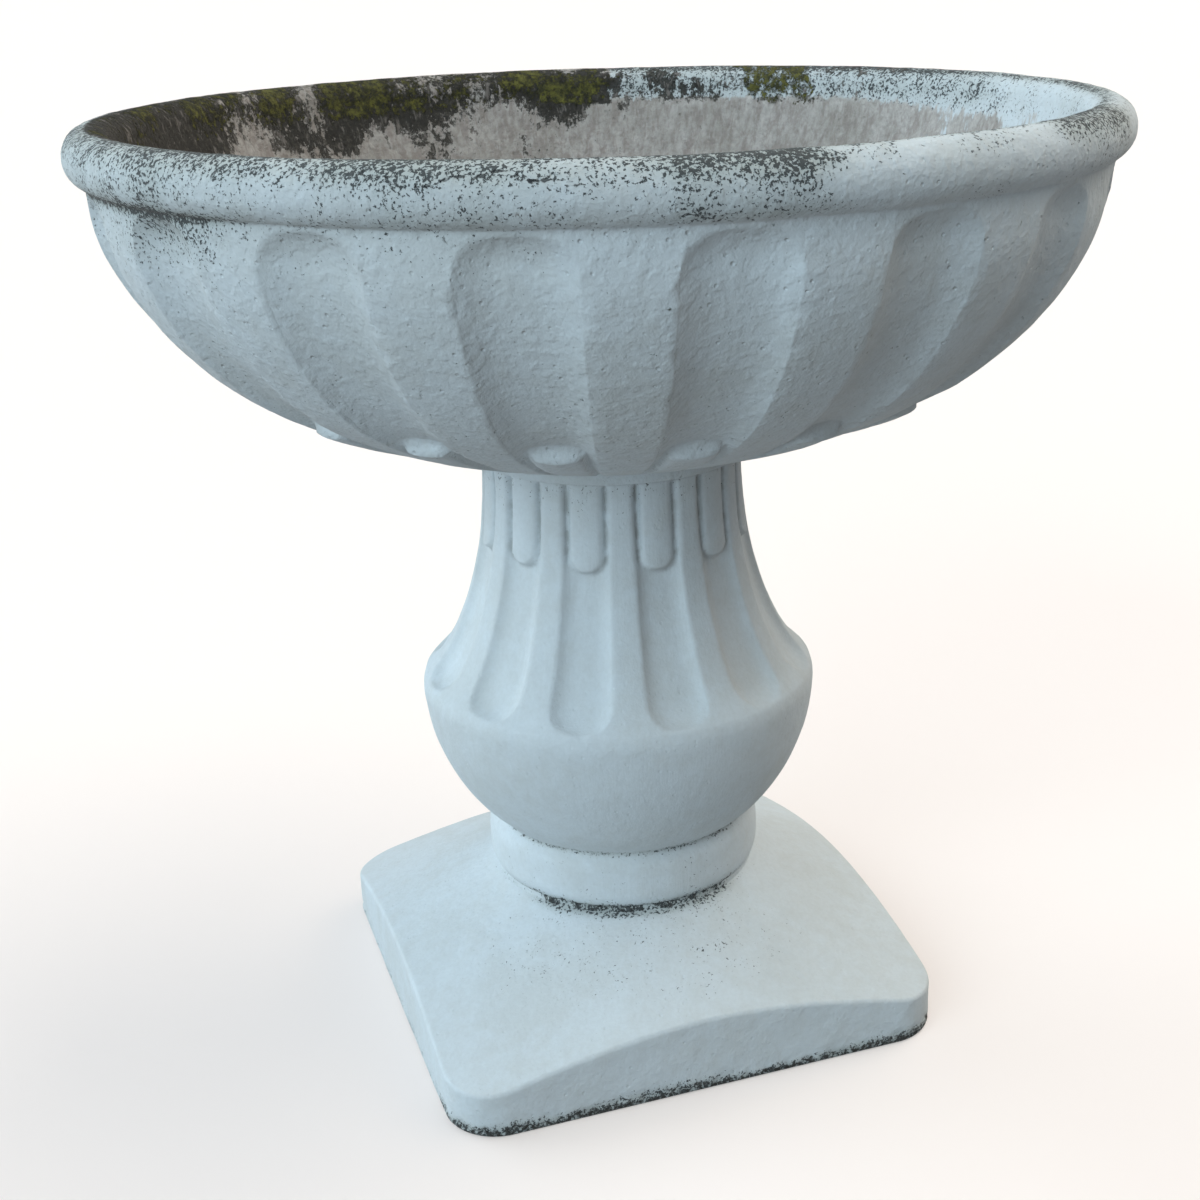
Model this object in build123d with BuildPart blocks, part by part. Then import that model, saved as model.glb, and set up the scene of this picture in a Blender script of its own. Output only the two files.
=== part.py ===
"""Bird bath of reinforced cast stone: a fluted bowl that rests on a baluster pedestal,
which is bedded and dowelled on a square plinth.

Row frame: millimetres, +Z up, origin on the ground under the pedestal's axis. The
plinth's sides are square with X and Y.
"""
import os
from math import radians, sin

from build123d import *

# ---- driving dimensions ----------------------------------------------------------
# Levels up the axis
PLINTH_SEAT = 86.0  # flat seat on top of the plinth
BED_THICKNESS = 2.5  # mortar between plinth and pedestal
BED_R = 80.0  # the mortar is set back from the collar's edge
PEDESTAL_FOOT = PLINTH_SEAT + BED_THICKNESS
PEDESTAL_HEAD = 364.0  # the bowl rests here

# Plinth
PLINTH_SIDE = 320.0
PLINTH_CORNER_R = 34.0
PLINTH_SEAT_R = 84.0
PLINTH_CROWN_MID = (140.0, 58.5)  # radius and height of the crown half way down
PLINTH_CROWN_END = (230.0, 22.5)  # beyond the corners, so that the crown cuts them
PLINTH_FOOT_CHAMFER = 3.0

# Pedestal outline, as (radius, height) from the collar's foot to the head
COLLAR_FOOT = (85.0, PEDESTAL_FOOT)
COLLAR_LOW = (88.2, 96.0)
COLLAR_WIDEST = (88.8, 107.0)
COLLAR_HIGH = (88.0, 118.0)
COLLAR_CREASE = (83.5, 126.0)
BULGE_MID = (111.0, 160.5)
BULGE_WIDEST = (125.4, 211.0)
RIDGE_MID = (125.3, 217.0)
RIDGE = (123.8, 222.5)
NECK = [(109.0, 240.0), (94.8, 270.0), (84.4, 310.0), (80.8, 345.0)]
HEAD_R = 80.4

# Pedestal flutes, with a raised tongue in the top of each
PEDESTAL_FLUTES = 12
PEDESTAL_FLUTE_ANGLE = 19.4
PEDESTAL_FLUTE_DEPTH = 3.5
PEDESTAL_FLUTE_END = 224.0  # height of the rounded lower end
PEDESTAL_FLUTE_END_R = 15.0
PEDESTAL_TONGUE_WIDTH = 20.5
PEDESTAL_TONGUE_END = 311.0
PEDESTAL_TONGUE_END_R = 8.0
CUT_BEYOND = 1.0  # how far a cutter runs past the face it opens

# Bowl
BOWL_DIAMETER = 600.0
RIM_TUBE_R = 14.5
RIM_LEVEL = 556.0
RIM_STRETCH = 1.5  # the rim's section is this much taller than it is wide
RIM_CENTRE_R = BOWL_DIAMETER / 2 - RIM_TUBE_R
BOWL_COLLAR_R = 84.0
BOWL_COLLAR_TOP = 372.0
WALL_TOP = 545.0
# Outer wall over the lands, from the collar up to the crease under the rim
WALL = [(BOWL_COLLAR_R, BOWL_COLLAR_TOP), (130.0, 383.5), (176.0, 400.5), (227.5, 429.0),
        (266.5, 469.5), (286.5, 510.0), (290.0, WALL_TOP)]
# Inner wall, from the rim down to the floor of the basin
BASIN_TOP = (RIM_CENTRE_R - RIM_TUBE_R, RIM_LEVEL)
BASIN_FLOOR_R = 105.0
BASIN_FLOOR = 410.0
BASIN_WALL = [BASIN_TOP, (262.5, 530.0), (244.0, 490.0), (211.0, 451.0), (165.0, 424.0),
              (BASIN_FLOOR_R, BASIN_FLOOR)]

# Bowl flutes: scoops of round section that narrow downwards
BOWL_FLUTES = 18
BOWL_FLUTE_ANGLE = 11.4
BOWL_FLUTE_START = 4.0  # the bowl stands 4 degrees round from the pedestal's flutes
SCOOP_DEPTH_SHARE = 0.14  # depth over width
SCOOP_TOP = 0.88  # share of the wall's length, where the rounded head begins
SCOOP_STATIONS = [-0.02, 0.15, 0.35, 0.55, 0.72, SCOOP_TOP]
BOWL_TONGUE_TOP = 421.0
BOWL_TONGUE_SHOULDER = 406.5
BOWL_TONGUE_HALF = 14.5
BOWL_TONGUE_FOOT_HALF = 6.0
BOWL_TONGUE_FOOT = 362.0

# Centre joint between pedestal and bowl
PIN_R = 8.0
PIN_GAP = 0.5  # radial play of the loose pin
SLEEVE_WALL = 2.0
HEAD_SOCKET_DEPTH = 40.0
BOWL_SOCKET_DEPTH = 28.0
PIN_PROJECTION = 25.0
PIN_CHAMFER = 1.5

# Dowel across the bedded joint
DOWEL_R = 10.0
DOWEL_DOWN = 40.0
DOWEL_UP = 32.0

# Reinforcement
HOOP_R = 3.0  # radius of the rim hoop's bar
WIRE_R = 2.5  # radius of the lighter bars
RIM_HOOP = (285.5, 556.0)
WALL_HOOP_DEPTH = 17.5  # from the lands to the bar's centre
WALL_HOOP_SHARE = 0.6
FOOT_RING = (60.0, 393.0)
RIBS = 6
RIB_DEPTH = 10.5  # from the lands to the bar's centre
RIB_SHARES = [0.15, 0.35, 0.55, 0.75, 0.9]
RIB_FOOT = (50.0, 385.0)
PEDESTAL_BARS = 4
PEDESTAL_BAR_R = 4.0
PEDESTAL_BAR_CIRCLE = 50.0
PEDESTAL_BAR_COVER = 18.0  # concrete beyond each end of a bar
TIE_LEVELS = [135.0, 230.0, 325.0]
TIE_GAP = 0.3
MESH_BAR_R = 3.0
MESH_BAR_LENGTH = 270.0
MESH_SPACING = 105.0
MESH_ROWS = 3
MESH_LEVEL = 16.0
MESH_GAP = 0.3

os.makedirs("parts", exist_ok=True)


def finish(piece, name):
    """Label a finished piece and write it under its own name."""
    piece.part.label = name
    export_step(piece.part, f"parts/{name}.step")


def wall_point(share, depth):
    """Point at a share of the bowl wall's length, depth inside the lands, and its heading."""
    wall = Spline(*WALL)
    place = wall @ share
    heading = wall % share
    outwards = Vector(heading.Y, -heading.X)
    return place - outwards * depth, heading


def ring(radius, height, bar_radius):
    """Closed hoop of round bar, level, about the Z axis."""
    with BuildPart() as hoop:
        with BuildSketch(Plane.XZ):
            with Locations((radius, height)):
                Circle(bar_radius)
        revolve(axis=Axis.Z)
    return hoop


def blind_sleeve(mouth, depth, direction):
    """Round tube with one closed end. direction is +1 where the socket runs upwards."""
    bore = PIN_R + PIN_GAP
    far = mouth + direction * (depth + SLEEVE_WALL)
    with BuildPart() as sleeve:
        with BuildSketch(Plane.XY.offset(min(mouth, far))):
            Circle(bore + SLEEVE_WALL)
        extrude(amount=depth + SLEEVE_WALL)
        with BuildSketch(Plane.XY.offset(min(mouth, mouth + direction * depth))):
            Circle(bore)
        extrude(amount=depth, mode=Mode.SUBTRACT)
    return sleeve


def sleeve_hole(mouth, depth, direction):
    """The hole that a blind sleeve fills in its casting."""
    far = mouth + direction * (depth + SLEEVE_WALL)
    with BuildPart() as hole:
        with BuildSketch(Plane.XY.offset(min(mouth, far))):
            Circle(PIN_R + PIN_GAP + SLEEVE_WALL)
        extrude(amount=depth + SLEEVE_WALL)
    return hole


# ---- reinforcement ---------------------------------------------------------------
def make_bowl_ribs():
    """Bent bars from the foot ring to the rim, each under a land."""
    route = [RIB_FOOT]
    for share in RIB_SHARES:
        place, _ = wall_point(share, RIB_DEPTH)
        route.append((place.X, place.Y))
    with BuildPart() as rib:
        with BuildLine(Plane.XZ):
            bend = Spline(*route)
        with BuildSketch(Plane(origin=bend @ 0, z_dir=bend % 0)):
            Circle(WIRE_R)
        sweep(path=bend)
    land = BOWL_FLUTE_START + 180 / BOWL_FLUTES
    with BuildPart() as ribs:
        with PolarLocations(0, RIBS, start_angle=land):
            add(rib.part)
    return ribs


def make_pedestal_bars():
    """Upright bars on a circle, short of both ends of the pedestal."""
    foot = PEDESTAL_FOOT + PEDESTAL_BAR_COVER
    head = PEDESTAL_HEAD - PEDESTAL_BAR_COVER
    with BuildPart() as bars:
        with BuildSketch(Plane.XY.offset(foot)):
            with PolarLocations(PEDESTAL_BAR_CIRCLE, PEDESTAL_BARS, start_angle=45):
                Circle(PEDESTAL_BAR_R)
        extrude(amount=head - foot)
    return bars


def make_pedestal_ties():
    """Rings round the upright bars."""
    radius = PEDESTAL_BAR_CIRCLE + PEDESTAL_BAR_R + WIRE_R + TIE_GAP
    with BuildPart() as ties:
        for level in TIE_LEVELS:
            with BuildSketch(Plane.XZ):
                with Locations((radius, level)):
                    Circle(WIRE_R)
            revolve(axis=Axis.Z)
    return ties


def make_mesh_layer(plane, level):
    """One layer of the plinth's mesh: straight bars along the plane's normal."""
    with BuildPart() as layer:
        with BuildSketch(plane):
            with Locations((0, level)):
                with GridLocations(MESH_SPACING, 1, MESH_ROWS, 1):
                    Circle(MESH_BAR_R)
        extrude(amount=MESH_BAR_LENGTH / 2, both=True)
    return layer


bowl_rim_hoop = ring(RIM_HOOP[0], RIM_HOOP[1], HOOP_R)
finish(bowl_rim_hoop, "bowl_rim_hoop")

hoop_place, _ = wall_point(WALL_HOOP_SHARE, WALL_HOOP_DEPTH)
bowl_wall_hoop = ring(hoop_place.X, hoop_place.Y, WIRE_R)
finish(bowl_wall_hoop, "bowl_wall_hoop")

bowl_foot_ring = ring(FOOT_RING[0], FOOT_RING[1], WIRE_R)
finish(bowl_foot_ring, "bowl_foot_ring")

bowl_ribs = make_bowl_ribs()
finish(bowl_ribs, "bowl_ribs")

pedestal_bars = make_pedestal_bars()
finish(pedestal_bars, "pedestal_bars")

pedestal_ties = make_pedestal_ties()
finish(pedestal_ties, "pedestal_ties")

plinth_bars_x = make_mesh_layer(Plane.YZ, MESH_LEVEL)
finish(plinth_bars_x, "plinth_bars_x")

plinth_bars_y = make_mesh_layer(Plane.XZ, MESH_LEVEL + 2 * MESH_BAR_R + MESH_GAP)
finish(plinth_bars_y, "plinth_bars_y")

# ---- centre joint ----------------------------------------------------------------
bowl_sleeve = blind_sleeve(PEDESTAL_HEAD, BOWL_SOCKET_DEPTH, 1)
finish(bowl_sleeve, "bowl_sleeve")

pedestal_head_sleeve = blind_sleeve(PEDESTAL_HEAD, HEAD_SOCKET_DEPTH, -1)
finish(pedestal_head_sleeve, "pedestal_head_sleeve")

with BuildPart() as bowl_pin:
    with BuildSketch(Plane.XY.offset(PEDESTAL_HEAD - HEAD_SOCKET_DEPTH)):
        Circle(PIN_R)
    extrude(amount=HEAD_SOCKET_DEPTH + PIN_PROJECTION)
    chamfer(bowl_pin.edges().filter_by(GeomType.CIRCLE), length=PIN_CHAMFER)
finish(bowl_pin, "bowl_pin")

# ---- bedded joint ----------------------------------------------------------------
with BuildPart() as plinth_dowel:
    with BuildSketch(Plane.XY.offset(PLINTH_SEAT - DOWEL_DOWN)):
        Circle(DOWEL_R)
    extrude(amount=DOWEL_DOWN + BED_THICKNESS + DOWEL_UP)
finish(plinth_dowel, "plinth_dowel")

with BuildPart() as plinth_bedding:
    with BuildSketch(Plane.XY.offset(PLINTH_SEAT)):
        Circle(BED_R)
        Circle(DOWEL_R, mode=Mode.SUBTRACT)
    extrude(amount=BED_THICKNESS)
finish(plinth_bedding, "plinth_bedding")

# ---- plinth ----------------------------------------------------------------------
with BuildPart() as plinth:
    with BuildSketch():
        RectangleRounded(PLINTH_SIDE, PLINTH_SIDE, PLINTH_CORNER_R)
    extrude(amount=PLINTH_SEAT)
    with BuildSketch(Plane.XZ):
        with BuildLine():
            Line((0, 0), (0, PLINTH_SEAT))
            Line((0, PLINTH_SEAT), (PLINTH_SEAT_R, PLINTH_SEAT))
            ThreePointArc((PLINTH_SEAT_R, PLINTH_SEAT), PLINTH_CROWN_MID, PLINTH_CROWN_END)
            Line(PLINTH_CROWN_END, (PLINTH_CROWN_END[0], 0))
            Line((PLINTH_CROWN_END[0], 0), (0, 0))
        make_face()
    revolve(axis=Axis.Z, mode=Mode.INTERSECT)
    chamfer(plinth.faces().sort_by(Axis.Z)[0].edges(), length=PLINTH_FOOT_CHAMFER)
    add(plinth_dowel.part, mode=Mode.SUBTRACT)
    add(plinth_bars_x.part, mode=Mode.SUBTRACT)
    add(plinth_bars_y.part, mode=Mode.SUBTRACT)
finish(plinth, "plinth")


# ---- pedestal --------------------------------------------------------------------
def neck_outline(inset):
    """Neck from the ridge to the head, moved in by inset."""
    points = [(radius - inset, height) for radius, height in [RIDGE] + NECK]
    return points + [(HEAD_R - inset, PEDESTAL_HEAD)]


def make_pedestal_flute():
    """Cutter for one flute about +X: a slice of a ring, round-ended, less its tongue."""
    floor = neck_outline(PEDESTAL_FLUTE_DEPTH)
    beyond = RIDGE[0] + PEDESTAL_FLUTE_DEPTH
    half_end = RIDGE[0] * sin(radians(PEDESTAL_FLUTE_ANGLE / 2))
    top = PEDESTAL_HEAD + CUT_BEYOND
    with BuildPart() as flute:
        with BuildSketch(Plane.XZ):
            with BuildLine():
                neck = Spline(*floor)
                Polyline(neck @ 1, (beyond, PEDESTAL_HEAD), (beyond, RIDGE[1]), neck @ 0)
            make_face()
        revolve(axis=Axis.Z, revolution_arc=PEDESTAL_FLUTE_ANGLE)
    with BuildPart() as window:
        with BuildSketch(Plane.YZ):
            with Locations((0, (PEDESTAL_FLUTE_END + top) / 2)):
                blank = Rectangle(2 * half_end, top - PEDESTAL_FLUTE_END)
            fillet(blank.vertices().group_by(Axis.Z)[0], PEDESTAL_FLUTE_END_R)
        extrude(amount=beyond)
        with BuildSketch(Plane.YZ):
            with Locations((0, (PEDESTAL_TONGUE_END + top) / 2)):
                tongue = Rectangle(PEDESTAL_TONGUE_WIDTH, top - PEDESTAL_TONGUE_END)
            fillet(tongue.vertices().group_by(Axis.Z)[0], PEDESTAL_TONGUE_END_R)
        extrude(amount=beyond, mode=Mode.SUBTRACT)
    with BuildPart() as cutter:
        add(flute.part, rotation=(0, 0, -PEDESTAL_FLUTE_ANGLE / 2))
        add(window.part, mode=Mode.INTERSECT)
    return cutter


pedestal_flute = make_pedestal_flute()
head_hole = sleeve_hole(PEDESTAL_HEAD, HEAD_SOCKET_DEPTH, -1)

with BuildPart() as pedestal:
    with BuildSketch(Plane.XZ):
        with BuildLine():
            Line((0, PEDESTAL_FOOT), COLLAR_FOOT)
            ThreePointArc(COLLAR_FOOT, COLLAR_LOW, COLLAR_WIDEST)
            ThreePointArc(COLLAR_WIDEST, COLLAR_HIGH, COLLAR_CREASE)
            ThreePointArc(COLLAR_CREASE, BULGE_MID, BULGE_WIDEST)
            ThreePointArc(BULGE_WIDEST, RIDGE_MID, RIDGE)
            Spline(*neck_outline(0))
            Line((HEAD_R, PEDESTAL_HEAD), (0, PEDESTAL_HEAD))
            Line((0, PEDESTAL_HEAD), (0, PEDESTAL_FOOT))
        make_face()
    revolve(axis=Axis.Z)
    with PolarLocations(0, PEDESTAL_FLUTES):
        add(pedestal_flute.part, mode=Mode.SUBTRACT)
    add(head_hole.part, mode=Mode.SUBTRACT)
    add(plinth_dowel.part, mode=Mode.SUBTRACT)
    add(pedestal_bars.part, mode=Mode.SUBTRACT)
    add(pedestal_ties.part, mode=Mode.SUBTRACT)
finish(pedestal, "pedestal")


# ---- bowl ------------------------------------------------------------------------
def make_bowl_flute():
    """Cutter for one flute about +X: a tapering scoop with a ball head, less its tongue."""
    with BuildPart() as scoop:
        for share in SCOOP_STATIONS:
            place, heading = wall_point(share, 0)
            width = 2 * place.X * sin(radians(BOWL_FLUTE_ANGLE / 2))
            depth = SCOOP_DEPTH_SHARE * width
            radius = (width**2 / 4 + depth**2) / (2 * depth)
            centre, _ = wall_point(share, depth - radius)
            with BuildSketch(Plane(origin=(centre.X, 0, centre.Y), z_dir=(heading.X, 0, heading.Y))):
                Circle(radius)
        loft()
        with Locations((centre.X, 0, centre.Y)):
            Sphere(radius)
    with BuildPart() as tongue:
        with BuildSketch(Plane.YZ):
            with BuildLine():
                Polyline((-BOWL_TONGUE_HALF, BOWL_TONGUE_SHOULDER),
                         (-BOWL_TONGUE_FOOT_HALF, BOWL_TONGUE_FOOT),
                         (BOWL_TONGUE_FOOT_HALF, BOWL_TONGUE_FOOT),
                         (BOWL_TONGUE_HALF, BOWL_TONGUE_SHOULDER))
                ThreePointArc((-BOWL_TONGUE_HALF, BOWL_TONGUE_SHOULDER), (0, BOWL_TONGUE_TOP),
                              (BOWL_TONGUE_HALF, BOWL_TONGUE_SHOULDER))
            make_face()
        extrude(amount=BOWL_DIAMETER / 2)
    with BuildPart() as cutter:
        add(scoop.part)
        add(tongue.part, mode=Mode.SUBTRACT)
    return cutter


bowl_flute = make_bowl_flute()
bowl_hole = sleeve_hole(PEDESTAL_HEAD, BOWL_SOCKET_DEPTH, 1)

with BuildPart() as bowl:
    with BuildSketch(Plane.XZ):
        with BuildLine():
            Line((0, PEDESTAL_HEAD), (BOWL_COLLAR_R, PEDESTAL_HEAD))
            Line((BOWL_COLLAR_R, PEDESTAL_HEAD), WALL[0])
            Spline(*WALL)
            Line(WALL[-1], (RIM_CENTRE_R, RIM_LEVEL))
            Line((RIM_CENTRE_R, RIM_LEVEL), BASIN_TOP)
            Spline(*BASIN_WALL)
            Line(BASIN_WALL[-1], (0, BASIN_FLOOR))
            Line((0, BASIN_FLOOR), (0, PEDESTAL_HEAD))
        make_face()
    revolve(axis=Axis.Z)
    with PolarLocations(0, BOWL_FLUTES, start_angle=BOWL_FLUTE_START):
        add(bowl_flute.part, mode=Mode.SUBTRACT)
    with BuildSketch(Plane.XZ):
        with Locations((RIM_CENTRE_R, RIM_LEVEL), (RIM_CENTRE_R, RIM_LEVEL - RIM_STRETCH)):
            Circle(RIM_TUBE_R)
        make_hull()
    revolve(axis=Axis.Z)
    add(bowl_hole.part, mode=Mode.SUBTRACT)
    add(bowl_rim_hoop.part, mode=Mode.SUBTRACT)
    add(bowl_wall_hoop.part, mode=Mode.SUBTRACT)
    add(bowl_foot_ring.part, mode=Mode.SUBTRACT)
    add(bowl_ribs.part, mode=Mode.SUBTRACT)
finish(bowl, "bowl")
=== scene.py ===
"""Looks of the bird bath: three weathered, white-painted stone castings and the mortar bed
between two of them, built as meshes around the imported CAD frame, with procedural
materials, a pale floor and soft light.

Shapes are worked out in millimetres in the CAD's frame and written in metres. Angles are
in degrees, anticlockwise from +X, unless a comment says otherwise.
"""
from math import atan2, cos, degrees, pi, radians, sin

import bpy
import numpy as np
from mathutils import Matrix, Vector, noise


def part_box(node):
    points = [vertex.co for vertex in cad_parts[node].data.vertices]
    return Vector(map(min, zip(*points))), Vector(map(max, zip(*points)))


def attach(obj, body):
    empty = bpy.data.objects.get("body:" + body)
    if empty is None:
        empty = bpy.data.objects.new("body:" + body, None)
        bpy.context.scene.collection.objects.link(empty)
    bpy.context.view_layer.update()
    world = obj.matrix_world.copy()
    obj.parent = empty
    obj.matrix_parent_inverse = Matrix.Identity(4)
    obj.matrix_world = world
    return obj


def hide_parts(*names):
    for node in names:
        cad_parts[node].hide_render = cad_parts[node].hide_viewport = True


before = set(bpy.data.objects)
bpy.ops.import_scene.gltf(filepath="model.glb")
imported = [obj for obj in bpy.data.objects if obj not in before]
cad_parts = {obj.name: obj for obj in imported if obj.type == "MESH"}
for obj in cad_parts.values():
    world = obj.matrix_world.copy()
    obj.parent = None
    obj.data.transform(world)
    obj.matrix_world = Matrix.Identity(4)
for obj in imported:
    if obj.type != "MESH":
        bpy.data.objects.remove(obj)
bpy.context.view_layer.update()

MM = 0.001
HIGHEST = 1  # index of a box's highest corner
LOWEST = 0

# ---- camera ----------------------------------------------------------------------
CAMERA_AT = Vector((-0.3249, -0.9918, 0.6545))
CAMERA_HEADING = 0.3266  # radians from +Y towards +X
CAMERA_PITCH = 0.3593  # radians below level
CAMERA_ROLL = -0.0294  # radians
CAMERA_LENS = 52.42
CAMERA_SHIFT_X = -0.0272
CAMERA_SENSOR = 36.0
CAMERA_SEES = 200.0  # metres

# ---- studio, in metres -------------------------------------------------------------
FLOOR_HALF = 60.0
BACKDROP_R = 45.0
BACKDROP_SIDES = 48


# ---- levels and radii read from the CAD, in mm --------------------------------------
def cad_reach(node, corner, axis):
    """How far a CAD node reaches along an axis, 0 to 2, at one corner of its box."""
    return round(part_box(node)[corner][axis] / MM, 1)


PLINTH_SEAT = cad_reach("plinth", HIGHEST, 2)
PLINTH_HALF = cad_reach("plinth", HIGHEST, 0)
PEDESTAL_FOOT = cad_reach("pedestal", LOWEST, 2)
PEDESTAL_HEAD = cad_reach("pedestal", HIGHEST, 2)
DOWEL_R = cad_reach("plinth_dowel", HIGHEST, 0)
DOWEL_FOOT = cad_reach("plinth_dowel", LOWEST, 2)
DOWEL_TOP = cad_reach("plinth_dowel", HIGHEST, 2)
SOCKET_R = cad_reach("bowl_sleeve", HIGHEST, 0)
HEAD_SOCKET_END = cad_reach("pedestal_head_sleeve", LOWEST, 2)
BOWL_SOCKET_END = cad_reach("bowl_sleeve", HIGHEST, 2)
BOWL_R = cad_reach("bowl", HIGHEST, 0)

# ---- outlines and reliefs, in mm ----------------------------------------------------
# The outlines follow the CAD's. The reliefs and the bowl's tongues are this script's own.
END_RING_R = 3.0  # the last ring before the point that closes an end

# Plinth
PLINTH_CORNER_R = 34.0
PLINTH_SEAT_R = 84.0
CROWN_MID = (140.0, 58.5)
CROWN_END = (230.0, 22.5)
PLINTH_EDGE_R = 2.6
PLINTH_FOOT_CHAMFER = 3.0
BED_EDGE_R = 84.6  # the mortar's dirty lip, nearly flush with the collar
JOINT_R = 86.0  # where the dirt lies round the collar's foot

# Pedestal outline as (radius, height)
COLLAR = [(85.0, PEDESTAL_FOOT), (88.2, 96.0), (88.8, 107.0), (88.0, 118.0), (83.5, 126.0)]
BULGE = [COLLAR[-1], (98.3, 141.0), (111.0, 160.5), (121.3, 186.0), (125.4, 211.0),
         (125.3, 217.0), (123.8, 222.5)]
NECK = [BULGE[-1], (109.0, 240.0), (94.8, 270.0), (84.4, 310.0), (80.8, 345.0),
        (80.4, PEDESTAL_HEAD)]
PEDESTAL_FLUTES = 12
PEDESTAL_FLUTE_HALF = 9.7  # degrees
PEDESTAL_FLUTE_FOOT = 224.0
PEDESTAL_FLUTE_FOOT_RISE = 16.0  # height of a flute's rounded foot
PEDESTAL_FLUTE_ROUNDNESS = 2.6
PEDESTAL_TONGUE_HALF = 10.25
PEDESTAL_TONGUE_END = 311.0
PEDESTAL_TONGUE_END_R = 8.5
TONGUE_GROOVE = 3.4  # depth of the groove round a tongue

# Bowl
RIM_TUBE_R = 14.5
RIM_LEVEL = 556.0
RIM_STRETCH = 1.5  # the rim's section is this much taller than it is wide
RIM_CENTRE_R = BOWL_R - RIM_TUBE_R
RIM_FOOT = 540.0  # the wall ends here, under the rim
RIM_START = 545.0  # everything above this level is rim
BOWL_COLLAR_R = 84.0
BOWL_COLLAR_TOP = 372.0
WALL = [(BOWL_COLLAR_R, BOWL_COLLAR_TOP), (130.0, 383.5), (176.0, 400.5), (227.5, 429.0),
        (266.5, 469.5), (286.5, 510.0), (290.0, RIM_FOOT)]
BASIN = [(RIM_CENTRE_R - RIM_TUBE_R, RIM_LEVEL), (262.5, 530.0), (244.0, 490.0), (211.0, 451.0),
         (165.0, 424.0), (105.0, 410.0)]
BASIN_FLOOR = 408.8
BOWL_FLUTES = 18
BOWL_FLUTE_START = 4.0
BOWL_FLUTE_HALF = 5.7  # degrees
BOWL_HEAD_FOOT = 518.0  # the rounded heads begin here
BOWL_HEAD_RISE = 21.0
BOWL_HEAD_ROUNDNESS = 2.3  # 2 would be an ellipse
BOWL_FLUTE_DEPTH_SHARE = 0.29  # of half the flute's width
BOWL_TONGUE_HALF = 14.6
BOWL_TONGUE_FOOT_HALF = 6.0
BOWL_TONGUE_END = 414.5
BOWL_TONGUE_CORNER_R = 5.0
BOWL_TONGUE_RISE = 2.4  # its crest over the lands
RUN_PER_HEIGHT = 2.0  # mm along the wall for each mm of height, where the tongues end
CRACK_LEVEL = 564.0
CRACK_MIDDLE = -11.0  # degrees right of the side that faces the camera
CRACK_HALF = 9.0
CRACK_FREE = 30.0  # distance stored where there is no crack

VIEW_AZIMUTH = degrees(atan2(CAMERA_AT.y, CAMERA_AT.x))  # the side that faces the camera


# ---- curves and grids ---------------------------------------------------------------
FAR = 9.0


def curve_through(points, step):
    """Points along a centripetal Catmull-Rom curve through the given points, about step apart."""
    knots = np.array(points, float)
    knots = np.vstack([2 * knots[0] - knots[1], knots, 2 * knots[-1] - knots[-2]])
    gaps = np.sqrt(np.linalg.norm(np.diff(knots, axis=0), axis=1))
    place = np.concatenate([[0], np.cumsum(gaps)])

    def blend(first, second, start, end, u):
        span = place[end] - place[start]
        return (place[end] - u) / span * first + (u - place[start]) / span * second

    fine = []
    for i in range(1, len(knots) - 2):
        u = np.linspace(place[i], place[i + 1], 60)[:, None]
        a = [blend(knots[j], knots[j + 1], j, j + 1, u) for j in (i - 1, i, i + 1)]
        b = [blend(a[k], a[k + 1], i - 1 + k, i + 1 + k, u) for k in (0, 1)]
        fine.append(blend(b[0], b[1], i, i + 1, u)[:-1])
    return even(np.vstack(fine + [knots[-2:-1]]), step)


def even(points, step):
    """The same line through points, with its points an even distance of about step apart."""
    points = np.array(points, float)
    run = np.concatenate([[0], np.cumsum(np.linalg.norm(np.diff(points, axis=0), axis=1))])
    stations = np.linspace(0, run[-1], max(2, round(run[-1] / step) + 1))
    return np.stack([np.interp(stations, run, points[:, k]) for k in range(2)], axis=1)


def arc(centre, radius, start, end, count):
    """Points on an arc between two angles in degrees."""
    turn = np.radians(np.linspace(start, end, count))
    return np.stack([centre[0] + radius * np.cos(turn), centre[1] + radius * np.sin(turn)], axis=1)


def outline(*runs):
    """Joins runs of (radius, height) points, dropping points that repeat."""
    points = np.vstack([np.array(run, float) for run in runs])
    keep = [0]
    for i in range(1, len(points)):
        if np.linalg.norm(points[i] - points[keep[-1]]) > 0.05:
            keep.append(i)
    return points[keep]


class Profile:
    """An outline that can be read at any distance along it."""

    def __init__(self, points):
        self.points = points
        self.run = np.concatenate([[0], np.cumsum(np.linalg.norm(np.diff(points, axis=0), axis=1))])
        slope = np.gradient(points, self.run, axis=0)
        slope /= np.linalg.norm(slope, axis=1)[:, None]
        self.outwards = np.stack([slope[:, 1], -slope[:, 0]], axis=1)

    def at(self, run):
        place = [np.interp(run, self.run, self.points[:, k]) for k in range(2)]
        outwards = [np.interp(run, self.run, self.outwards[:, k]) for k in range(2)]
        return place[0], place[1], outwards[0], outwards[1]


def smoothstep(low, high, value):
    """0 below low and 1 above high, with an easy slope between. low may be the larger."""
    t = np.clip((value - low) / (high - low), 0, 1)
    return t * t * (3 - 2 * t)


def snap(run, offset, level, reach):
    """Moves grid points near the line where level is zero onto it, so that edges are crisp.
    run is the distance along the profile and offset the distance round it, in mm. level is a
    function of both, and is FAR where it has no edge."""
    small = 0.05
    value = level(run, offset)
    by_run = (level(run + small, offset) - value) / small
    by_offset = (level(run, offset + small) - value) / small
    size = by_run**2 + by_offset**2 + 1e-9
    near = np.abs(value) < reach * np.sqrt(size)
    run = run - np.where(near, value * by_run / size, 0)
    offset = offset - np.where(near, value * by_offset / size, 0)
    return run, offset


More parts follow.
